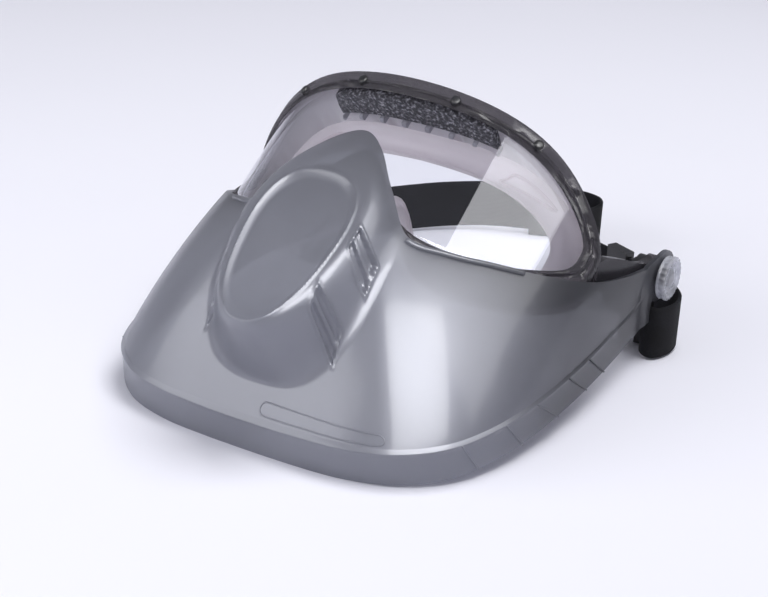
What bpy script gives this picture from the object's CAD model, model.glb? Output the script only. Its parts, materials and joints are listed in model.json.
"""Looks of the face shield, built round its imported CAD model."""
import json
from math import acos, cos, pi, radians, sin

import bmesh
import bpy
import numpy as np
from mathutils import Matrix, Vector


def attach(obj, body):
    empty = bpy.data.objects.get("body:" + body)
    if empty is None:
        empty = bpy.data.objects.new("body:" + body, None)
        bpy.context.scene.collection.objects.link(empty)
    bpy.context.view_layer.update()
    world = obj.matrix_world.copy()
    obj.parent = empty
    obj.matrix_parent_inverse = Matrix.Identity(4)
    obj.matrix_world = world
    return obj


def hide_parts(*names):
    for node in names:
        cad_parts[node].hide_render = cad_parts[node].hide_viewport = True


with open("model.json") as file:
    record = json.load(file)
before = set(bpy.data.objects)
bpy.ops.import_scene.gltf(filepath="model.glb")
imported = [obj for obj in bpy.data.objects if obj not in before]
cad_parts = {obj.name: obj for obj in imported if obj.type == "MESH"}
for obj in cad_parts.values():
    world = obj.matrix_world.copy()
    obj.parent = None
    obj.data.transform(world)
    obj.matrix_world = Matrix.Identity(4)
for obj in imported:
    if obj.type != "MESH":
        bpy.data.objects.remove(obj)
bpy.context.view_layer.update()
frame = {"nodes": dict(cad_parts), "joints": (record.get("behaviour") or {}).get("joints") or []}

# ---- driving dimensions, in millimetres and in the guard's lip axes ----
MM = 0.001
REAR_LIFT = radians(6.0)
LENS_TILT = radians(60.0)
LENS_TOP_Y = 130.0
LENS_TOP_Z = 117.0
LIP_HEIGHT = 15.0
GUARD_WALL = 2.0
PIVOT_Y = 196.0
PIVOT_Z = 18.0
EAR_RADIUS = 12.5
EAR_X = 95.6
EAR_COLUMNS = [179, 181.5, 183, 183.6, 184.2, 185.5, 187.5, 190, 193, 196, 199, 202, 204.5, 206.5, 207.8,
               208.4]
LENS_HALF_WIDTH = 88.5
LENS_DEPTH = 77.0
LENS_THICKNESS = 2.2
LENS_INSET = 4.9
RIM_WIDTH = 8.5
RIM_WIDTH_BELOW = 4.9
FRAME_WALL = 3.0
STUD_RADIUS = 2.2
STUD_ANGLES = [radians(a) for a in (-41.5, -15, 15, 41.5)]
VENT_COUNT = 7
KNURL_COUNT = 24
CORNER_POWER = 3.4
SEAL_DEPTH = 30.0
TEMPLE_DEPTH = 46.0
SEAL_WIDTH_SHARE = 0.985
SEAL_HEIGHT_SHARE = 0.97
SEAL_DROP = 2.0
RIM_REACH = radians(81)
WALL_REACH = radians(78)
LENS_REACH = radians(77)
SIGHT_REACH = radians(72)
FOAM_REACH = radians(27)
STRAP_WIDTH = 25.0
STRAP_THICKNESS = 1.6

PANEL_W = 19.0
PANEL_MID_U = -105.6
PANEL_HALF_HEIGHT = 38.4
PANEL_HALF_WIDTH = 21.0
PANEL_EGG = 0.20
FOOT_MID_U = -92.0
FOOT_HALF_HEIGHT = 60.0
FOOT_HALF_WIDTH = 38.5
FOOT_EGG = -0.30
PANEL_SINK = 1.3
PANEL_BEAD = 0.7

# Louvre windows: inner and outer (x, u) of the top edge in face axes, then the two ends' heights.
WINDOWS = [((26.2, -87.8), (34.6, -96.2), 11.0, 13.5), ((22.7, -117.8), (31.1, -124.8), 10.0, 13.5)]
WINDOW_DEPTH = 2.1
WINDOW_FIN = 1.8
WINDOW_RIM = 0.5

# Guard ribs, from the middle of the front to the ear: the lip's top (X, Y), then the guard's upper edge.
RIBS = [
    ((0, -2.7), (0, 91.3, 107)),
    ((24, -2.2), (12, 85.3, 102.5)),
    ((46, 0), (25, 72.9, 91)),
    ((66, 7), (37, 63.7, 79)),
    ((82, 22), (52, 71.3, 72.6)),
    ((91, 44), (67, 83.5, 66)),
    ((95.5, 71), (79.5, 98, 58)),
    ((97, 98), (88.3, 116.6, 49)),
    ((97, 124), (92.8, 135.5, 41.3)),
    ((96, 149), (95, 155, 35.5)),
    ((94.6, 174), (95.5, 177, 30)),
]

# Where a rib's two handles stand between its ends, along X, Y and Z: at the front, then at the side.
LOWER_HANDLES = np.array([(0.20, 0.20, 0.31), (0.18, 0.18, 0.34)])
UPPER_HANDLES = np.array([(0.71, 0.58, 0.83), (0.69, 0.59, 0.79)])

# Strap route from the right clip to the left one: X, Y and the height of its lower edge.
STRAP_ROUTE = [
    (79.6, 187, 2.6), (79.6, 194, 2.6), (79.9, 200, 2.6), (81.3, 203, 2.6), (84.2, 203.9, 2.6),
    (87.3, 203, 2.6), (88.9, 200, 2.4), (89.3, 194, 2.0), (90.3, 188, 1.6), (93.8, 184.6, 1.2),
    (97.6, 184.9, 1.0), (100.3, 189.5, 1.0), (101.6, 197, 1.0), (100, 206, 1.2), (94.8, 213.3, 1.6),
    (86, 219.6, 2.2), (76, 224.4, 2.6), (66, 229.2, 2.6), (56, 234, 2.6), (46, 238.8, 2.6),
    (36, 243.6, 2.4), (25, 248.6, 2), (16, 255.6, 1.6), (11.5, 265, 1.3), (11.6, 276, 1.2),
    (14.6, 287, 1.2), (15.6, 297, 1.2), (11, 304.6, 1.4), (2, 306, 2), (-8, 302.6, 2.6),
    (-18, 298.4, 2.6), (-28, 294.2, 2.6), (-38, 290, 2.6), (-50, 283.4, 2.2), (-64, 271.4, 1.8),
    (-76, 257.4, 1.4), (-87, 241, 1.2), (-95, 226, 1.2), (-100, 212, 1.2), (-101.6, 199, 1.1),
    (-100.2, 190, 1.1), (-97.4, 185.4, 1.2), (-93.6, 185, 1.4), (-90.3, 188, 1.6), (-89.3, 194, 2.0),
    (-88.9, 200, 2.4), (-87.3, 203, 2.6), (-84.2, 203.9, 2.6), (-81.3, 203, 2.6), (-79.9, 200, 2.6),
    (-79.6, 194, 2.6), (-79.6, 187, 2.6),
]


# ---- axes ----
def turned(points):
    """Directions or places in lip axes, turned by the rear lift."""
    p = np.asarray(points, float)
    y = p[..., 1] * cos(REAR_LIFT) - p[..., 2] * sin(REAR_LIFT)
    z = p[..., 1] * sin(REAR_LIFT) + p[..., 2] * cos(REAR_LIFT)
    return np.stack([p[..., 0], y, z], -1)


swing = next(j for j in frame["joints"] if j["name"] == "goggle_swing")
PIVOT = np.array([0.0, swing["pos_m"][1], swing["pos_m"][2]])
ORIGIN = PIVOT - turned((0, PIVOT_Y, PIVOT_Z)) * MM


def place(points):
    return turned(points) * MM + ORIGIN


def lip_from_face(points):
    p = np.asarray(points, float)
    y = LENS_TOP_Y + p[..., 1] * sin(LENS_TILT) - p[..., 2] * cos(LENS_TILT)
    z = LENS_TOP_Z + p[..., 1] * cos(LENS_TILT) + p[..., 2] * sin(LENS_TILT)
    return np.stack([p[..., 0], y, z], -1)


def face_from_lip(points):
    p = np.asarray(points, float)
    dy = p[..., 1] - LENS_TOP_Y
    dz = p[..., 2] - LENS_TOP_Z
    u = dy * sin(LENS_TILT) + dz * cos(LENS_TILT)
    w = dz * sin(LENS_TILT) - dy * cos(LENS_TILT)
    return np.stack([p[..., 0], u, w], -1)


def face_place(points):
    return place(lip_from_face(points))


def smooth(low, high, value):
    """0 up to the low value, 1 from the high one, and a soft step between."""
    t = np.clip((value - low) / (high - low), 0, 1)
    return t * t * (3 - 2 * t)


def curve(points, t, mirrored=False):
    """Catmull-Rom curve through the points at t from 0 to 1."""
    pts = np.array(points, float)
    last = len(pts) - 1
    t = np.asarray(t, float)
    i = np.minimum((t * last).astype(int), last - 1)
    f = (t * last - i)[..., None]
    first = pts[1] * [-1, 1, 1] if mirrored else 2 * pts[0] - pts[1]
    pts = np.vstack([first, pts, 2 * pts[-1] - pts[-2]])
    a, b, c, d = pts[i], pts[i + 1], pts[i + 2], pts[i + 3]
    return 0.5 * (2 * b + (c - a) * f + (2 * a - 5 * b + 4 * c - d) * f ** 2
                  + (3 * b - a - 3 * c + d) * f ** 3)


# ---- meshes ----
def make_object(name, verts, faces, uvs=None):
    mesh = bpy.data.meshes.new(name)
    mesh.from_pydata([tuple(v) for v in verts], [], faces)
    mesh.update()
    if uvs is not None:
        layer = mesh.uv_layers.new(name="UVMap")
        index = np.zeros(len(mesh.loops), np.int32)
        mesh.loops.foreach_get("vertex_index", index)
        layer.data.foreach_set("uv", np.asarray(uvs, np.float32)[index].ravel())
    mesh.polygons.foreach_set("use_smooth", [True] * len(mesh.polygons))
    obj = bpy.data.objects.new(name, mesh)
    bpy.context.scene.collection.objects.link(obj)
    return obj


def grid_object(name, grid, close_rows=False, close_columns=False, caps=False, uvs=None):
    """A mesh from a grid of points, rows by columns."""
    m, n = grid.shape[:2]
    faces = []
    for i in range(m if close_rows else m - 1):
        for j in range(n if close_columns else n - 1):
            a = i * n + j
            b = i * n + (j + 1) % n
            c = ((i + 1) % m) * n + (j + 1) % n
            d = ((i + 1) % m) * n + j
            faces.append((a, b, c, d))
    if caps:
        faces.append(tuple(range(n))[::-1])
        faces.append(tuple((m - 1) * n + j for j in range(n)))
    flat_uvs = None if uvs is None else uvs.reshape(-1, 2)
    return make_object(name, grid.reshape(-1, 3), faces, flat_uvs)


def face_outwards(obj):
    """Every face of the mesh turned to point outwards."""
    work = bmesh.new()
    work.from_mesh(obj.data)
    bmesh.ops.recalc_face_normals(work, faces=work.faces)
    work.to_mesh(obj.data)
    work.free()
    return obj


def bevel(obj, width, segments=2, angle=35):
    """Soft edges, width in millimetres, where faces meet at more than the angle in degrees."""
    mod = obj.modifiers.new("soft edges", "BEVEL")
    mod.width = width * MM
    mod.segments = segments
    mod.limit_method = "ANGLE"
    mod.angle_limit = radians(angle)
    mod.harden_normals = False
    return obj


def apply_modifiers(obj):
    graph = bpy.context.evaluated_depsgraph_get()
    graph.update()
    mesh = bpy.data.meshes.new_from_object(obj.evaluated_get(graph))
    obj.modifiers.clear()
    obj.data = mesh
    return obj


def finish_piece(obj, body, material, slot, *nodes):
    """Gives a piece its material, its body and slot, and the CAD nodes it stands for."""
    obj.data.materials.clear()
    obj.data.materials.append(material)
    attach(obj, body)
    if nodes:
        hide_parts(*nodes)
    return obj


def tube(name, path, radius, sides=10, closed=False):
    """A round bar along a path of points in metres."""
    path = np.asarray(path, float)
    n = len(path)
    rows = []
    for i in range(n):
        before = path[i - 1] if i > 0 or closed else path[i]
        after = path[(i + 1) % n] if i < n - 1 or closed else path[i]
        run = after - before
        run = run / np.linalg.norm(run)
        helper = np.array([0.3, -0.6, 0.74])
        side = np.cross(run, helper)
        side = side / np.linalg.norm(side)
        lift = np.cross(side, run)
        turns = [2 * pi * k / sides for k in range(sides)]
        rows.append([path[i] + radius * MM * (side * cos(a) + lift * sin(a)) for a in turns])
    return face_outwards(grid_object(name, np.array(rows), close_rows=closed, close_columns=True,
                                     caps=not closed))


# ---- materials ----
def new_material(name):
    mat = bpy.data.materials.new(name)
    mat.use_nodes = True
    nodes = mat.node_tree.nodes
    return mat, nodes, mat.node_tree.links, nodes["Principled BSDF"], nodes["Material Output"]


def add_noise(nodes, links, scale, detail):
    noise = nodes.new("ShaderNodeTexNoise")
    noise.inputs["Scale"].default_value = scale
    noise.inputs["Detail"].default_value = detail
    coords = nodes.new("ShaderNodeTexCoord")
    links.new(coords.outputs["Object"], noise.inputs["Vector"])
    return noise


def add_ramp(nodes, links, value, stops):
    ramp = nodes.new("ShaderNodeValToRGB")
    elements = ramp.color_ramp.elements
    while len(elements) < len(stops):
        elements.new(0.5)
    for element, (at, colour) in zip(elements, stops):
        element.position = at
        element.color = (*colour, 1)
    links.new(value, ramp.inputs["Fac"])
    return ramp


def add_bump(nodes, links, height, strength, distance, bsdf):
    bump = nodes.new("ShaderNodeBump")
    bump.inputs["Strength"].default_value = strength
    bump.inputs["Distance"].default_value = distance
    links.new(height, bump.inputs["Height"])
    links.new(bump.outputs["Normal"], bsdf.inputs["Normal"])


def rear_share(nodes, links, tint):
    """1 at the front of the object and the tint at its rear, for a smoke colour that deepens."""
    coords = nodes.new("ShaderNodeTexCoord")
    split = nodes.new("ShaderNodeSeparateXYZ")
    links.new(coords.outputs["Object"], split.inputs["Vector"])
    share = nodes.new("ShaderNodeMapRange")
    share.interpolation_type = "SMOOTHSTEP"
    share.inputs["From Min"].default_value = -0.125
    share.inputs["From Max"].default_value = -0.03
    share.inputs["To Min"].default_value = 1.0
    share.inputs["To Max"].default_value = tint
    links.new(split.outputs["Y"], share.inputs["Value"])
    return share.outputs["Result"]


def scaled(nodes, links, colour, share, target):
    """A colour, given as a socket or as numbers, times a share, into the target socket."""
    scale = nodes.new("ShaderNodeVectorMath")
    scale.operation = "SCALE"
    if isinstance(colour, tuple):
        scale.inputs[0].default_value = colour
    else:
        links.new(colour, scale.inputs[0])
    links.new(share, scale.inputs["Scale"])
    links.new(scale.outputs["Vector"], target)


def plastic(name, dark, light, rough, see_through=0.0, glow=0.0, grain=900, bump=0.03, coat=0.0,
            clear_colour=(1, 1, 1), pearl=0.0, glow_colour=None, rear_tint=None):
    """Moulded plastic with a fine grain; part of the light may pass through or glow in it."""
    mat, nodes, links, bsdf, out = new_material(name)
    wide = add_noise(nodes, links, 26, 3)
    ramp = add_ramp(nodes, links, wide.outputs["Fac"], [(0.3, dark), (0.7, light)])
    links.new(ramp.outputs["Color"], bsdf.inputs["Base Color"])
    if rear_tint:
        depth = rear_share(nodes, links, rear_tint)
        scaled(nodes, links, ramp.outputs["Color"], depth, bsdf.inputs["Base Color"])
    fine = add_noise(nodes, links, grain, 2)
    add_bump(nodes, links, fine.outputs["Fac"], bump, 0.0004, bsdf)
    spread = nodes.new("ShaderNodeMapRange")
    spread.inputs["To Min"].default_value = rough * 0.88
    spread.inputs["To Max"].default_value = rough * 1.14
    links.new(wide.outputs["Fac"], spread.inputs["Value"])
    links.new(spread.outputs["Result"], bsdf.inputs["Roughness"])
    bsdf.inputs["Metallic"].default_value = pearl
    bsdf.inputs["Coat Weight"].default_value = coat
    bsdf.inputs["Coat Roughness"].default_value = 0.12
    last = bsdf.outputs["BSDF"]
    if glow:
        through = nodes.new("ShaderNodeBsdfTranslucent")
        through.inputs["Color"].default_value = (*(glow_colour or light), 1)
        if rear_tint:
            scaled(nodes, links, glow_colour, depth, through.inputs["Color"])
        mix = nodes.new("ShaderNodeMixShader")
        mix.inputs["Fac"].default_value = glow
        links.new(last, mix.inputs[1])
        links.new(through.outputs["BSDF"], mix.inputs[2])
        last = mix.outputs["Shader"]
    if see_through:
        clear = nodes.new("ShaderNodeBsdfTransparent")
        clear.inputs["Color"].default_value = (*clear_colour, 1)
        mix = nodes.new("ShaderNodeMixShader")
        mix.inputs["Fac"].default_value = see_through
        links.new(last, mix.inputs[1])
        links.new(clear.outputs["BSDF"], mix.inputs[2])
        last = mix.outputs["Shader"]
    links.new(last, out.inputs["Surface"])
    return mat


def clear_lens_material():
    """Thin clear sheet: a little tint, and gloss that grows towards grazing angles."""
    mat, nodes, links, bsdf, out = new_material("lens_clear_polycarbonate")
    nodes.remove(bsdf)
    clear = nodes.new("ShaderNodeBsdfTransparent")
    clear.inputs["Color"].default_value = (0.965, 0.97, 0.985, 1)
    gloss = nodes.new("ShaderNodeBsdfGlossy")
    gloss.inputs["Roughness"].default_value = 0.03
    gloss.inputs["Color"].default_value = (0.97, 0.97, 1.0, 1)
    facing = nodes.new("ShaderNodeLayerWeight")
    facing.inputs["Blend"].default_value = 0.5
    steep = nodes.new("ShaderNodeMath")
    steep.operation = "POWER"
    steep.inputs[1].default_value = 4.0
    links.new(facing.outputs["Facing"], steep.inputs[0])
    gloss_share = nodes.new("ShaderNodeMapRange")
    gloss_share.inputs["To Min"].default_value = 0.04
    links.new(steep.outputs["Value"], gloss_share.inputs["Value"])
    dust = add_noise(nodes, links, 60, 5)
    haze = add_ramp(nodes, links, dust.outputs["Fac"],
                    [(0.45, (0.02, 0.02, 0.02)), (0.75, (0.05, 0.05, 0.05))])
    links.new(haze.outputs["Color"], gloss.inputs["Roughness"])
    mix = nodes.new("ShaderNodeMixShader")
    links.new(gloss_share.outputs["Result"], mix.inputs["Fac"])
    links.new(clear.outputs["BSDF"], mix.inputs[1])
    links.new(gloss.outputs["BSDF"], mix.inputs[2])
    links.new(mix.outputs["Shader"], out.inputs["Surface"])
    return mat


def foam_material():
    """Dark open-cell foam with pale specks."""
    mat, nodes, links, bsdf, out = new_material("foam_open_cell")
    spots = nodes.new("ShaderNodeTexVoronoi")
    spots.inputs["Scale"].default_value = 900
    coords = nodes.new("ShaderNodeTexCoord")
    links.new(coords.outputs["Object"], spots.inputs["Vector"])
    wide = add_noise(nodes, links, 700, 6)
    ramp = add_ramp(nodes, links, wide.outputs["Fac"],
                    [(0.42, (0.018, 0.017, 0.022)), (0.55, (0.10, 0.095, 0.11)), (0.68, (0.42, 0.41, 0.45))])
    links.new(ramp.outputs["Color"], bsdf.inputs["Base Color"])
    bsdf.inputs["Roughness"].default_value = 0.85
    add_bump(nodes, links, spots.outputs["Distance"], 0.7, 0.0006, bsdf)
    return mat


def webbing_material():
    """Woven elastic: ribs along the strap and a fine weave across, from a map in metres."""
    mat, nodes, links, bsdf, out = new_material("strap_woven_elastic")
    coords = nodes.new("ShaderNodeTexCoord")
    across = nodes.new("ShaderNodeTexWave")
    across.wave_type = "BANDS"
    across.bands_direction = "Y"
    across.inputs["Scale"].default_value = 420
    along = nodes.new("ShaderNodeTexWave")
    along.wave_type = "BANDS"
    along.bands_direction = "X"
    along.inputs["Scale"].default_value = 620
    for wave in (across, along):
        wave.inputs["Distortion"].default_value = 0.6
        wave.inputs["Detail"].default_value = 1.5
        links.new(coords.outputs["UV"], wave.inputs["Vector"])
    both = nodes.new("ShaderNodeMath")
    both.operation = "ADD"
    links.new(across.outputs["Fac"], both.inputs[0])
    links.new(along.outputs["Fac"], both.inputs[1])
    wide = add_noise(nodes, links, 45, 5)
    ramp = add_ramp(nodes, links, wide.outputs["Fac"],
                    [(0.35, (0.004, 0.004, 0.006)), (0.72, (0.012, 0.012, 0.017))])
    links.new(ramp.outputs["Color"], bsdf.inputs["Base Color"])
    bsdf.inputs["Roughness"].default_value = 0.8
    bsdf.inputs["Specular IOR Level"].default_value = 0.12
    bsdf.inputs["Sheen Weight"].default_value = 0.03
    add_bump(nodes, links, both.outputs["Value"], 0.35, 0.0003, bsdf)
    return mat


def knob_material():
    """Clear acrylic that lets half the light straight through."""
    mat, nodes, links, bsdf, out = new_material("knob_clear_acrylic")
    wide = add_noise(nodes, links, 180, 3)
    ramp = add_ramp(nodes, links, wide.outputs["Fac"],
                    [(0.35, (0.50, 0.51, 0.55)), (0.7, (0.72, 0.73, 0.78))])
    links.new(ramp.outputs["Color"], bsdf.inputs["Base Color"])
    bsdf.inputs["Roughness"].default_value = 0.12
    bsdf.inputs["Coat Weight"].default_value = 0.5
    add_bump(nodes, links, wide.outputs["Fac"], 0.05, 0.0005, bsdf)
    clear = nodes.new("ShaderNodeBsdfTransparent")
    clear.inputs["Color"].default_value = (0.86, 0.87, 0.91, 1)
    mix = nodes.new("ShaderNodeMixShader")
    mix.inputs["Fac"].default_value = 0.5
    links.new(bsdf.outputs["BSDF"], mix.inputs[1])
    links.new(clear.outputs["BSDF"], mix.inputs[2])
    links.new(mix.outputs["Shader"], out.inputs["Surface"])
    return mat


GUARD = plastic("guard_frosted_plastic", (0.27, 0.275, 0.31), (0.30, 0.305, 0.34), 0.38, see_through=0.26,
                glow=0.35, grain=1500, bump=0.05, coat=0.6, clear_colour=(0.9, 0.91, 0.95), pearl=0.35,
                glow_colour=(0.78, 0.79, 0.84), rear_tint=0.25)
SMOKE = plastic("frame_smoke_vinyl", (0.060, 0.058, 0.066), (0.085, 0.080, 0.090), 0.24, see_through=0.38,
                glow=0.15, grain=700, bump=0.04, clear_colour=(0.55, 0.53, 0.56))
LINER = plastic("frame_inside_milky", (0.80, 0.77, 0.80), (0.90, 0.87, 0.90), 0.3, see_through=0.2, glow=0.3,
                grain=600, bump=0.04, clear_colour=(0.9, 0.88, 0.91))
SEAL = plastic("seal_milky_vinyl", (0.84, 0.79, 0.81), (0.92, 0.88, 0.90), 0.28, see_through=0.35, glow=0.5,
               grain=500, bump=0.04, clear_colour=(0.92, 0.88, 0.9))
GRILLE = plastic("grille_grey_plastic", (0.30, 0.29, 0.33), (0.42, 0.41, 0.45), 0.4)
BLACK = plastic("hardware_black_plastic", (0.012, 0.012, 0.014), (0.022, 0.022, 0.026), 0.38, coat=0.1)
LENS = clear_lens_material()
FOAM = foam_material()
WEBBING = webbing_material()
KNOB = knob_material()


# ---- guard ----
def egg_distance(x, u, mid, half_height, half_width, egg, power):
    along = (u - mid) / half_height
    width = half_width * (1 + egg * along)
    return (np.abs(x / width) ** power + np.abs(along) ** power) ** (1 / power)


def raised(points):
    """Points of the guard, pushed out of the face by the nose and mouth bulge."""
    f = face_from_lip(points)
    x, u, w = f[..., 0], f[..., 1], f[..., 2]
    panel = egg_distance(x, u, PANEL_MID_U, PANEL_HALF_HEIGHT, PANEL_HALF_WIDTH, PANEL_EGG, 2.4)
    upper = egg_distance(x, u, FOOT_MID_U, FOOT_HALF_HEIGHT, FOOT_HALF_WIDTH, FOOT_EGG, 2.2)
    lower = egg_distance(x, u, FOOT_MID_U, FOOT_HALF_HEIGHT, FOOT_HALF_WIDTH, 0.0, 3.0)
    foot = np.where(u > FOOT_MID_U, upper, lower)
    beyond = np.maximum(panel - 1, 0)
    q = np.clip(beyond / (beyond + np.maximum(1 - foot, 1e-6) * 2.2 + 1e-9), 0, 1)
    q = np.where(foot >= 1, 1.0, q)
    share = 1 - (q - 0.85 * np.sin(2 * pi * q) / (2 * pi))
    lifted = w + (np.maximum(PANEL_W, w) - w) * share
    lifted = lifted - PANEL_SINK * smooth(0.0, 0.13, 1 - panel)
    lifted = lifted + PANEL_BEAD * np.exp(-((panel - 1.01) / 0.028) ** 2)
    return lip_from_face(np.stack([x, u, lifted], -1))


def skirt_points(s, t):
    """The guard's outer surface above the lip's crease."""
    lip_top = [(x, y, LIP_HEIGHT) for (x, y), _ in RIBS]
    low = curve(lip_top, np.abs(s), mirrored=True)
    high = curve([upper for _, upper in RIBS], np.abs(s), mirrored=True)
    side = smooth(0.3, 0.7, np.abs(s))[..., None]
    h1 = low + (high - low) * (LOWER_HANDLES[0] + side * (LOWER_HANDLES[1] - LOWER_HANDLES[0]))
    h2 = low + (high - low) * (UPPER_HANDLES[0] + side * (UPPER_HANDLES[1] - UPPER_HANDLES[0]))
    t = t[..., None]
    p = (1 - t) ** 3 * low + 3 * t * (1 - t) ** 2 * h1 + 3 * t * t * (1 - t) * h2 + t ** 3 * high
    p = p * np.stack([np.where(s < 0, -1.0, 1.0), np.ones_like(s), np.ones_like(s)], -1)
    return raised(p)


def ear_columns(levels):
    """Columns that carry the skirt's rear edge on to the round ear."""
    columns = []
    for y in EAR_COLUMNS:
        circle = (max(EAR_RADIUS ** 2 - (y - PIVOT_Y) ** 2, 0.01)) ** 0.5
        high = PIVOT_Z + (circle if y > PIVOT_Y else EAR_RADIUS)
        low = 0.0 if y <= 183 else min(7.5, (y - 183) * 8.5)
        if y > 184.5:
            low = max(PIVOT_Z - circle, low) if y > PIVOT_Y - EAR_RADIUS else low
        column = []
        for t in levels:
            share = (t + 1) / 2 * 0.999
            column.append((EAR_X - 0.3, y, low + (high - low) * share))
        columns.append(column)
    return np.array(columns)


def window_recess(points):
    """How deep the louvre windows are let into the flanks, in millimetres."""
    f = face_from_lip(points)
    x = np.abs(f[..., 0])
    u = f[..., 1]
    depth = np.zeros_like(x)
    for (x0, u0), (x1, u1), h0, h1 in WINDOWS:
        b = (x - x0) / (x1 - x0)
        top = u0 + (u1 - u0) * b
        height = h0 + (h1 - h0) * b
        a = (top - u) / height
        side = np.minimum(a, 1 - a) * height
        end = np.minimum(b, 1 - b) * 16
        inside = smooth(0.0, 1.3, np.minimum(side, end))
        rim = smooth(-1.6, -0.5, np.minimum(side, end)) * (1 - inside)
        fin = 1 - smooth(1.0, 2.0, np.abs(a - 0.5) * height)
        depth = depth + inside * (WINDOW_DEPTH - WINDOW_FIN * fin) - rim * WINDOW_RIM
    return depth


def guard_piece():
    """The guard: a dense grid over lip, skirt, bulge and ears, given its wall."""
    columns = 520
    q = np.linspace(-1, 1, columns + 1)
    s = np.sign(q) * np.abs(q) ** 1.25
    band = np.array([-1, -0.97, -0.75, -0.5, -0.3, -0.18, -0.13, -0.09, -0.05, -0.02])
    rows = np.linspace(0.012, 1, 170)
    ss, tt = np.meshgrid(s, rows)
    skirt = skirt_points(ss, tt)
    lip_top = curve([(x, y, LIP_HEIGHT) for (x, y), _ in RIBS], np.abs(s), mirrored=True)
    lip_top = lip_top * np.stack([np.where(s < 0, -1.0, 1.0), np.ones_like(s), np.ones_like(s)], -1)
    bands = []
    for t in band:
        row = lip_top.copy()
        out = np.cross(np.gradient(lip_top, axis=0), np.array([0, 0, 1.0]))
        out = out / np.linalg.norm(out, axis=1, keepdims=True)
        ridge = 0.8 + 0.55 * np.exp(-((t + 0.05) / 0.045) ** 2)
        row = row + out * ridge * np.sin(np.linspace(0, pi, len(row)))[:, None] ** 0.3
        row[:, 2] = LIP_HEIGHT * (1 + t)
        bands.append(row)
    grid = np.concatenate([np.array(bands), skirt], 0)
    levels = list(band) + list(rows)
    ear = ear_columns(levels).transpose(1, 0, 2)
    left = ear[:, ::-1] * np.array([-1, 1, 1])
    grid = np.concatenate([left, grid, ear], 1)
    along = np.gradient(grid, axis=1)
    up = np.gradient(grid, axis=0)
    normal = np.cross(along, up)
    normal = normal / (np.linalg.norm(normal, axis=-1, keepdims=True) + 1e-9)
    grid = grid - normal * window_recess(grid)[..., None]
    obj = grid_object("guard_frosted_shell", place(grid))
    solid = obj.modifiers.new("wall", "SOLIDIFY")
    solid.thickness = GUARD_WALL * MM
    solid.offset = -1
    solid.use_even_offset = False
    bevel(obj, 0.5, 2, 50)
    return finish_piece(obj, "guard", GUARD, "guard_frosted", "guard_shell")


def guard_edge_bead():
    """A raised bead along the guard's upper edge on each side of the nose."""
    upper = [u for _, u in RIBS]
    for sign, side in ((1, "right"), (-1, "left")):
        t = np.linspace(0.30, 0.57 if sign > 0 else 0.42, 40)
        p = skirt_points(t * sign, np.full_like(t, 0.975))
        p = p + np.array([0, -0.35, 0.5])
        bead = tube(f"guard_edge_bead_{side}", place(p), 1.15, 10)
        finish_piece(bead, "guard", GUARD, "guard_frosted")


def blank_plaque():
    """A raised rounded outline on the skirt above the lip, left blank."""
    near, far = 0.035, 0.265
    middle, half = 0.055, 0.027
    path = [(near + (far - near) * f, middle - half) for f in np.linspace(0, 1, 30)]
    path += [(far + 0.012 * cos(a), middle + half * sin(a)) for a in np.linspace(-1.4, 1.4, 11)]
    path += [(far - (far - near) * f, middle + half) for f in np.linspace(0, 1, 30)]
    path += [(near - 0.012 * cos(a), middle - half * sin(a)) for a in np.linspace(-1.4, 1.4, 11)]
    across, up = np.array(path).T
    p = skirt_points(across, up)
    ring = tube("guard_blank_plaque", place(p), 0.35, 8, closed=True)
    finish_piece(ring, "guard", GUARD, "guard_frosted")


def lip_marks():
    """Short ribs down the lip band towards the ears."""
    marks = [((89, 26), (92, 34)), ((95, 49), (96, 60)), ((97, 70), (95.5, 87)),
             ((97.2, 96), (93.9, 113)), ((96.3, 115), (93.4, 131))]
    rim = curve([(x, y, LIP_HEIGHT) for (x, y), _ in RIBS], np.linspace(0, 1, 400), mirrored=True)
    for sign, side in ((1, "right"), (-1, "left")):
        for k, ((x0, y0), (x1, y1)) in enumerate(marks):
            path = []
            for f in np.linspace(0, 1, 9):
                z = 14.4 - 14.0 * f
                y = y0 + (y1 - y0) * f
                x = float(np.interp(y, rim[:, 1], rim[:, 0]))
                path.append((sign * (x + 1.0), y - 0.3, z))
            mark = tube(f"lip_mark_{side}_{k + 1}", place(path), 0.45, 8)
            finish_piece(mark, "guard", GUARD, "guard_frosted")


# ---- goggle ----
def lens_plan(angle, outward=0.0):
    return ((LENS_HALF_WIDTH + outward) * np.sin(angle),
            outward - (LENS_DEPTH + outward) * (1 - np.cos(angle)))


def lens_top(angle):
    f = np.abs(np.sin(angle))
    return 2 * f ** 2 - 18 * f ** 6


def lens_bottom(angle):
    f = np.abs(np.sin(angle))
    return -79 + 32 * f ** 5 + 33 * np.exp(-(LENS_HALF_WIDTH * f / 20) ** 2)


def ring_turns():
    """Turns all the way round the ring, closer together at its corners."""
    edge = [acos((i / 22 * 0.8) ** (CORNER_POWER / 2)) for i in range(23)]
    corner = [edge[-1] * (1 - i / 12) for i in range(1, 12)]
    half = [-turn for turn in edge] + [-turn for turn in corner] + [0.0] + corner[::-1] + edge[::-1]
    right = [(turn, 1) for turn in half]
    left = [(turn, -1) for turn in half[::-1]][1:-1]
    return right + left


def ring_outline(turn, inset, reach):
    power = 2 / CORNER_POWER
    angle = reach * max(cos(turn), 0) ** power if abs(turn) < pi / 2 - 1e-9 else 0.0
    v = abs(sin(turn)) ** power * (1 if turn >= 0 else -1)
    top = lens_top(angle) - inset
    bottom = lens_bottom(angle) + inset
    return angle, (top + bottom) / 2 + v * (top - bottom) / 2


def ring_corner(turn, inset, reach, outward):
    angle, u = ring_outline(turn, inset, reach)
    x, w = lens_plan(angle, outward)
    return np.array([x, u, w])


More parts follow.
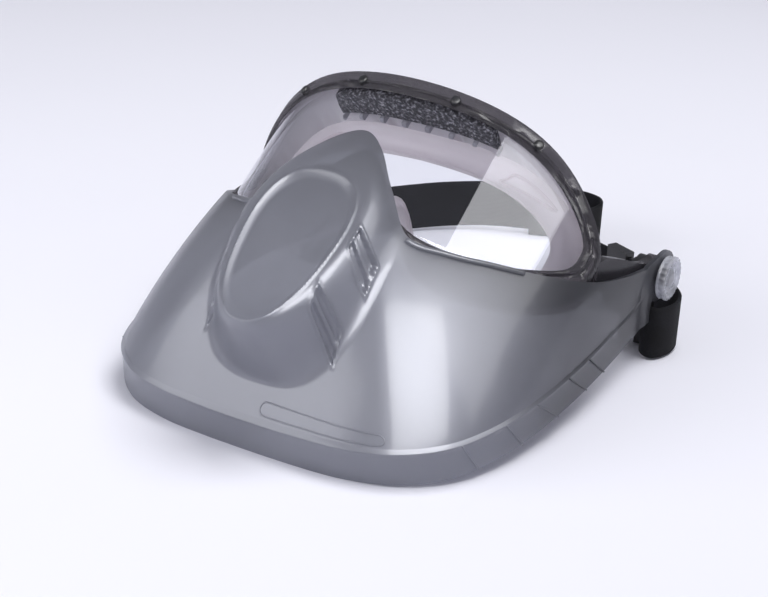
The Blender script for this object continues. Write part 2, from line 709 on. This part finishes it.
def seal_depth(angle):
    return SEAL_DEPTH + TEMPLE_DEPTH * abs(sin(angle)) ** 3


def seal_corner(turn, inset, behind=0.0, reach=WALL_REACH):
    angle, u = ring_outline(turn, inset, reach)
    x = lens_plan(angle)[0] * SEAL_WIDTH_SHARE
    return np.array([x, u * SEAL_HEIGHT_SHARE - SEAL_DROP, -seal_depth(angle) - behind])


def ring_object(name, section):
    """A closed ring through a section given as points in face axes."""
    rows = []
    for turn, sign in ring_turns():
        rows.append([p * np.array([sign, 1, 1]) for p in section(turn)])
    grid = face_place(np.array(rows))
    return face_outwards(grid_object(name, grid, close_rows=True, close_columns=True))


def frame_section(turn):
    low = smooth(0.15, -0.45, turn) if turn < 0.15 else 0.0
    width = RIM_WIDTH - (RIM_WIDTH - RIM_WIDTH_BELOW) * low
    front = ring_corner(turn, 0, RIM_REACH, 2.0)
    back = seal_corner(turn, 0)
    inner_front = ring_corner(turn, 3.6, WALL_REACH, 0.35)
    inner_back = seal_corner(turn, FRAME_WALL)
    waist = front + (back - front) * 0.30
    waist_in = inner_front + (inner_back - inner_front) * 0.30
    pull = (waist_in - waist) * 0.22
    return [
        ring_corner(turn, width, SIGHT_REACH, 1.3),
        ring_corner(turn, width - 2.5, radians(74.6), 1.5),
        ring_corner(turn, width - 3.3, radians(75.5), 2.3),
        ring_corner(turn, 1.2, radians(80), 2.4),
        front,
        front + (back - front) * 0.16,
        waist + pull,
        front + (back - front) * 0.62 + pull,
        front + (back - front) * 0.80,
        back,
        inner_back,
        waist_in,
        inner_front,
        ring_corner(turn, width, SIGHT_REACH, 0.35),
    ]


def frame_piece():
    """The smoke frame, with a milky liner on its inner faces."""
    obj = ring_object("goggle_smoke_frame", frame_section)
    finish_piece(obj, "goggle", SMOKE, "frame_smoke", "goggle_frame")
    obj.data.materials.append(LINER)
    count = len(frame_section(0.0))
    for index, polygon in enumerate(obj.data.polygons):
        if index % count in (9, 10, 11):
            polygon.material_index = 1
    return bevel(obj, 0.6, 3, 28)


def lens_piece():
    """The clear sheet, bent round the lens plan and cut to the ring's rounded corners."""
    angles = LENS_REACH * 0.985 * np.sin(np.linspace(-pi / 2, pi / 2, 81))
    rows = []
    for v in np.linspace(-1, 1, 25):
        row = []
        for angle in angles:
            share = (1 - (abs(angle) / LENS_REACH) ** CORNER_POWER) ** (1 / CORNER_POWER)
            middle = (lens_top(angle) + lens_bottom(angle)) / 2
            half = (lens_top(angle) - lens_bottom(angle)) / 2 - LENS_INSET
            x, w = lens_plan(angle)
            row.append((x, middle + v * half * share, w))
        rows.append(row)
    obj = grid_object("lens_clear_sheet", face_place(np.array(rows)))
    solid = obj.modifiers.new("sheet", "SOLIDIFY")
    solid.thickness = LENS_THICKNESS * MM
    solid.offset = -1
    return finish_piece(obj, "goggle", LENS, "lens_clear", "lens")


def flange_point(turn, q):
    """A point on the seal's flange: q is 0 at the frame and 1 at the face opening."""
    side = max(cos(turn), 0.0) ** 0.6
    inset = 3.0 + (9.5 + 3.0 * side) * q
    if turn < 0:
        inset = 3.0 + 7.0 * q
    reach = WALL_REACH - radians(26) * q
    behind = 3.0 + 5.0 * q + 3.0 * sin(pi * q)
    return seal_corner(turn, inset, behind, reach)


def seal_piece():
    """The milky flange behind the frame, open in the middle for the face."""
    def section(turn):
        outer = [seal_corner(turn, 0.3, 0.1), seal_corner(turn, -0.6, 2.0), seal_corner(turn, 0.3, 5.0)]
        flange = [flange_point(turn, q) for q in (0.25, 0.5, 0.75, 0.93, 1.0)]
        thick = np.array([0, 0, 1.5])
        back = [p + thick for p in flange[::-1]]
        back[0] = back[0] + np.array([0, 0, 0.6])
        front = [p + np.array([0, 0, -0.4]) for p in flange]
        return outer + front + back + [seal_corner(turn, FRAME_WALL, 0.1)]
    obj = ring_object("face_seal_skirt", section)
    bevel(obj, 0.3, 2, 40)
    return finish_piece(obj, "goggle", SEAL, "seal_pale", "face_seal")


def seal_emboss():
    """A rounded triangle moulded on each upper corner of the seal."""
    for sign, side in ((1, "right"), (-1, "left")):
        corners = [(1.34, 0.22), (0.98, 0.35), (1.31, 0.82)]
        path = []
        for i in range(3):
            a = np.array(corners[i - 1])
            b = np.array(corners[i])
            c = np.array(corners[(i + 1) % 3])
            start = b + (a - b) * 0.22
            end = b + (c - b) * 0.22
            for f in np.linspace(0, 1, 7):
                spot = (1 - f) ** 2 * start + 2 * f * (1 - f) * b + f * f * end
                path.append(spot)
            following = c + (b - c) * 0.22
            for f in np.linspace(0.12, 0.88, 8):
                path.append(end + (following - end) * f)
        points = []
        for turn, q in path:
            p = flange_point(turn, q) + np.array([0, 0, 1.6])
            points.append(p * np.array([sign, 1, 1]))
        ring = tube(f"seal_emboss_{side}", face_place(points), 0.75, 8, closed=True)
        finish_piece(ring, "goggle", SEAL, "seal_pale")


def brow_corner(angle, back, drop):
    turn = acos((abs(angle) / WALL_REACH) ** (CORNER_POWER / 2))
    front = ring_corner(turn, 3.6, WALL_REACH, 0.35)
    rear = seal_corner(turn, FRAME_WALL)
    p = front + (rear - front) * back
    return np.array([p[0] if angle >= 0 else -p[0], p[1] - drop, p[2]])


def brow_strip(name, front, rear, drop, thickness, reach, steps=120):
    rows = []
    for angle in np.linspace(-reach, reach, steps + 1):
        section = []
        for back, down in ((front, drop), ((front + rear) / 2, drop), (rear, drop),
                           (rear, drop + thickness / 2), (rear, drop + thickness),
                           ((front + rear) / 2, drop + thickness + 0.5), (front, drop + thickness),
                           (front, drop + thickness / 2)):
            section.append(brow_corner(angle, back, down))
        rows.append(section)
    return face_outwards(grid_object(name, face_place(np.array(rows)), close_columns=True, caps=True))


def brow_boxes(name, angles, back, drop, across, depth, height):
    """Boxes set square to the brow, in one object."""
    verts = []
    faces = []
    for angle in angles:
        p = brow_corner(angle, back, drop)
        side = np.array([cos(angle), 0, -sin(angle)])
        up = np.array([0, 1, 0])
        out = np.cross(side, up)
        first = len(verts)
        for i in (-1, 1):
            for j in (-1, 1):
                for k in (-1, 1):
                    corner = p + side * across / 2 * i + up * height / 2 * j + out * depth / 2 * k
                    verts.append(face_place(corner))
        faces += [tuple(first + n for n in f) for f in
                  ((0, 1, 3, 2), (4, 6, 7, 5), (0, 4, 5, 1), (2, 3, 7, 6), (0, 2, 6, 4), (1, 5, 7, 3))]
    return face_outwards(make_object(name, verts, faces))


def vent_angles():
    pitch = 2 * FOAM_REACH / VENT_COUNT
    return [pitch * (i + 0.5) - FOAM_REACH for i in range(VENT_COUNT)]


def cut(obj, cutter):
    mod = obj.modifiers.new("cut", "BOOLEAN")
    mod.operation = "DIFFERENCE"
    mod.solver = "EXACT"
    mod.object = cutter
    apply_modifiers(obj)
    bpy.data.objects.remove(cutter)
    return obj


def foam_piece():
    """The vent filter along the brow."""
    obj = brow_strip("brow_filter_foam", 0.16, 0.62, 0.4, 4.0, FOAM_REACH)
    bevel(obj, 0.5, 2, 40)
    finish_piece(obj, "goggle", FOAM, "foam_dark", "brow_foam")
    return obj


def grille_piece():
    """The comb of windows behind the foam."""
    obj = brow_strip("brow_vent_grille", 0.66, 0.76, 0.4, 4.6, FOAM_REACH)
    obj = cut(obj, brow_boxes("notches", vent_angles(), 0.71, 3.0, 9.5, 9.0, 5.0))
    bevel(obj, 0.25, 2, 40)
    return finish_piece(obj, "goggle", GRILLE, "grille_grey", "brow_grille")


def stud_pieces():
    """Domed pegs through the rim."""
    verts = []
    faces = []
    for angle in STUD_ANGLES:
        x, w = lens_plan(angle, 0.4)
        normal = np.array([x / LENS_HALF_WIDTH ** 2, 0, (w + LENS_DEPTH) / LENS_DEPTH ** 2])
        normal = normal / np.linalg.norm(normal)
        side = np.cross(np.array([0, 1, 0]), normal)
        centre = np.array([x, lens_top(angle) - 5.0, w])
        first = len(verts)
        profile = [(STUD_RADIUS, 0.0), (STUD_RADIUS, 2.0), (2.0, 2.5), (1.4, 2.8), (0.7, 2.95)]
        for r, h in profile:
            for k in range(20):
                a = 2 * pi * k / 20
                p = centre + normal * h + r * (side * cos(a) + np.array([0, 1, 0]) * sin(a))
                verts.append(face_place(p))
        for i in range(len(profile) - 1):
            for k in range(20):
                n = (k + 1) % 20
                faces.append((first + i * 20 + k, first + i * 20 + n,
                              first + (i + 1) * 20 + n, first + (i + 1) * 20 + k))
        faces.append(tuple(first + (len(profile) - 1) * 20 + k for k in range(20)))
        faces.append(tuple(first + k for k in range(20))[::-1])
    obj = face_outwards(make_object("rim_studs", verts, faces))
    return finish_piece(obj, "goggle", BLACK, "hardware_black", "lens_studs")


# ---- ear joints ----
def lathe_x(name, profile, steps=96, wave=None):
    """A turned piece about the ear pivot: profile of (x, radius) in millimetres."""
    rows = []
    for x, radius in profile:
        row = []
        for k in range(steps):
            a = 2 * pi * k / steps
            r = radius if wave is None else wave(x, radius, a)
            row.append(PIVOT + np.array([x, r * cos(a), r * sin(a)]) * MM)
        rows.append(row)
    return face_outwards(grid_object(name, np.array(rows), close_columns=True, caps=True))


def scallops(x, radius, turn):
    """The knob's radius with shallow scallops round its outer part."""
    if radius < 9.55 or abs(x) < 97.2:
        return radius
    return radius - 0.55 * (0.5 - 0.5 * cos(KNURL_COUNT * turn)) ** 0.6


def knob_pieces():
    """The knurled cap of each knob, and the dark hub inside it."""
    profile = [(95.9, 7.8), (95.9, 10.0), (96.2, 10.3), (96.8, 10.3), (97.1, 9.5), (97.5, 9.9), (99.0, 10.5),
               (99.9, 10.4), (100.2, 9.6), (100.2, 7.6), (99.7, 7.3), (99.6, 4.4), (100.0, 4.0),
               (100.1, 3.0), (100.1, 0.3)]
    core = [(94.6, 4.2), (98.9, 4.2), (99.3, 3.8), (99.4, 0.4)]
    for sign, side in ((1, "right"), (-1, "left")):
        knob = lathe_x(f"knob_knurled_{side}", [(x * sign, r) for x, r in profile], 192, scallops)
        finish_piece(knob, f"knob_{side}", KNOB, "knob_clear", f"knob_{side}")
        hub = lathe_x(f"knob_hub_{side}", [(x * sign, r) for x, r in core], 40)
        finish_piece(hub, f"knob_{side}", BLACK, "hardware_black")


def carried_over():
    """CAD pieces whose shape stays, with their own finish."""
    finishes = {"temple_lug": SMOKE, "guard_pin": BLACK, "ear_washer": BLACK, "strap_clip": BLACK,
                "strap_slide": BLACK}
    for kind, material in finishes.items():
        for side in ("right", "left"):
            node = frame["nodes"][f"{kind}_{side}"]
            node.data.materials.clear()
            node.data.materials.append(material)


# ---- head strap ----
def strap_piece():
    """The elastic strap along its route, with a map in metres along and across it."""
    count = (len(STRAP_ROUTE) - 1) * 8
    line = curve(STRAP_ROUTE, np.linspace(0, 1, count + 1))
    run = np.gradient(line[:, :2], axis=0)
    run = run / np.linalg.norm(run, axis=1, keepdims=True)
    step = np.linalg.norm(np.diff(line[:, :2], axis=0), axis=1)
    travel = np.concatenate([[0], np.cumsum(step)])
    half = STRAP_THICKNESS / 2
    section = [(-half * 0.6, 0.0), (half * 0.6, 0.0)]
    section += [(half, v) for v in np.linspace(0.5, STRAP_WIDTH - 0.5, 13)]
    section += [(half * 0.6, STRAP_WIDTH), (-half * 0.6, STRAP_WIDTH)]
    section += [(-half, v) for v in np.linspace(STRAP_WIDTH - 0.5, 0.5, 13)]
    rows = []
    maps = []
    for (x, y, low), (dx, dy), at in zip(line, run, travel):
        side = np.array([dy, -dx])
        rows.append([(x + side[0] * a, y + side[1] * a, low + v) for a, v in section])
        maps.append([(at * MM, v * MM) for _, v in section])
    base = ORIGIN.copy()
    base[2] = 0.0
    obj = grid_object("strap_elastic_band", np.array(rows) * MM + base, close_columns=True, caps=True,
                      uvs=np.array(maps))
    face_outwards(obj)
    finish_piece(obj, "headband", WEBBING, "strap_black", "strap")
    return obj


# ---- stage, light and camera ----
def stage():
    """A pale paper floor."""
    size = 6.0
    bpy.ops.mesh.primitive_plane_add(size=size, location=(0, 0, 0))
    floor = bpy.context.object
    floor.name = "floor"
    mat, nodes, links, bsdf, out = new_material("floor_pale_paper")
    wide = add_noise(nodes, links, 3, 3)
    ramp = add_ramp(nodes, links, wide.outputs["Fac"],
                    [(0.3, (0.80, 0.80, 0.87)), (0.7, (0.815, 0.815, 0.885))])
    links.new(ramp.outputs["Color"], bsdf.inputs["Base Color"])
    bsdf.inputs["Roughness"].default_value = 0.9
    bsdf.inputs["Specular IOR Level"].default_value = 0.1
    floor.data.materials.append(mat)


def aim(obj, position, target):
    position = Vector(position)
    obj.location = position
    obj.rotation_euler = (Vector(target) - position).to_track_quat("-Z", "Y").to_euler()


def area_light(name, position, target, size, power, colour=(1, 1, 1)):
    light = bpy.data.lights.new(name, "AREA")
    light.shape = "RECTANGLE"
    light.size = size[0]
    light.size_y = size[1]
    light.energy = power
    light.color = colour
    obj = bpy.data.objects.new(name, light)
    bpy.context.scene.collection.objects.link(obj)
    aim(obj, position, target)
    return obj


def studio():
    """Soft light: a broad one above, and side boxes that show mostly as reflections."""
    world = bpy.data.worlds.new("studio")
    bpy.context.scene.world = world
    world.use_nodes = True
    background = world.node_tree.nodes["Background"]
    background.inputs["Color"].default_value = (0.84, 0.85, 0.95, 1)
    background.inputs["Strength"].default_value = 0.30
    top = area_light("softbox_top", (0.35, 0.25, 1.6), (0.0, 0.0, 0.03), (1.0, 1.0), 22.5)
    top.visible_glossy = False
    right = wide_light("softbox_right", (0.59, -0.15, 1.27), (1.21, 0.41, 0.515), 0.75, 11)
    right.visible_diffuse = False
    front = area_light("softbox_front", (0.72, -0.65, 0.87), (0.0, -0.03, 0.04), (1.0, 0.75), 27)
    front.visible_diffuse = False
    wide_light("softbox_left", (-0.10, -1.20, 0.49), (-1.05, -0.62, 0.49), 0.5, 7)


def wide_light(name, start, end, width, power):
    """A softbox from one point to another that faces the object."""
    start = Vector(start)
    end = Vector(end)
    middle = (start + end) / 2
    along = (end - start).normalized()
    back = (middle - along * middle.dot(along)).normalized()
    across = back.cross(along)
    light = bpy.data.lights.new(name, "AREA")
    light.shape = "RECTANGLE"
    light.size = (end - start).length
    light.size_y = width
    light.energy = power
    obj = bpy.data.objects.new(name, light)
    bpy.context.scene.collection.objects.link(obj)
    obj.matrix_world = Matrix(((along.x, across.x, back.x, middle.x), (along.y, across.y, back.y, middle.y),
                               (along.z, across.z, back.z, middle.z), (0, 0, 0, 1)))
    return obj


def camera():
    """A long lens that looks down at the guard's front and its +X side."""
    data = bpy.data.cameras.new("camera")
    data.lens = 90
    data.sensor_width = 36
    data.clip_end = 20
    obj = bpy.data.objects.new("camera", data)
    bpy.context.scene.collection.objects.link(obj)
    azimuth = radians(31.6)
    elevation = radians(28.0)
    forward = np.array([-sin(azimuth) * cos(elevation), cos(azimuth) * cos(elevation), -sin(elevation)])
    right = np.array([cos(azimuth), sin(azimuth), 0.0])
    up = np.cross(right, forward)
    right, up, forward = turned(right), turned(up), turned(forward)
    spot = place((398.1, -541.7, 425.0))
    matrix = Matrix(((right[0], up[0], -forward[0], spot[0]), (right[1], up[1], -forward[1], spot[1]),
                     (right[2], up[2], -forward[2], spot[2]), (0, 0, 0, 1)))
    obj.matrix_world = matrix
    bpy.context.scene.camera = obj
    bpy.context.scene.view_settings.view_transform = "Standard"


camera()
studio()
stage()
guard_piece()
guard_edge_bead()
blank_plaque()
lip_marks()
frame_piece()
lens_piece()
seal_piece()
seal_emboss()
foam_piece()
grille_piece()
stud_pieces()
knob_pieces()
carried_over()
strap_piece()
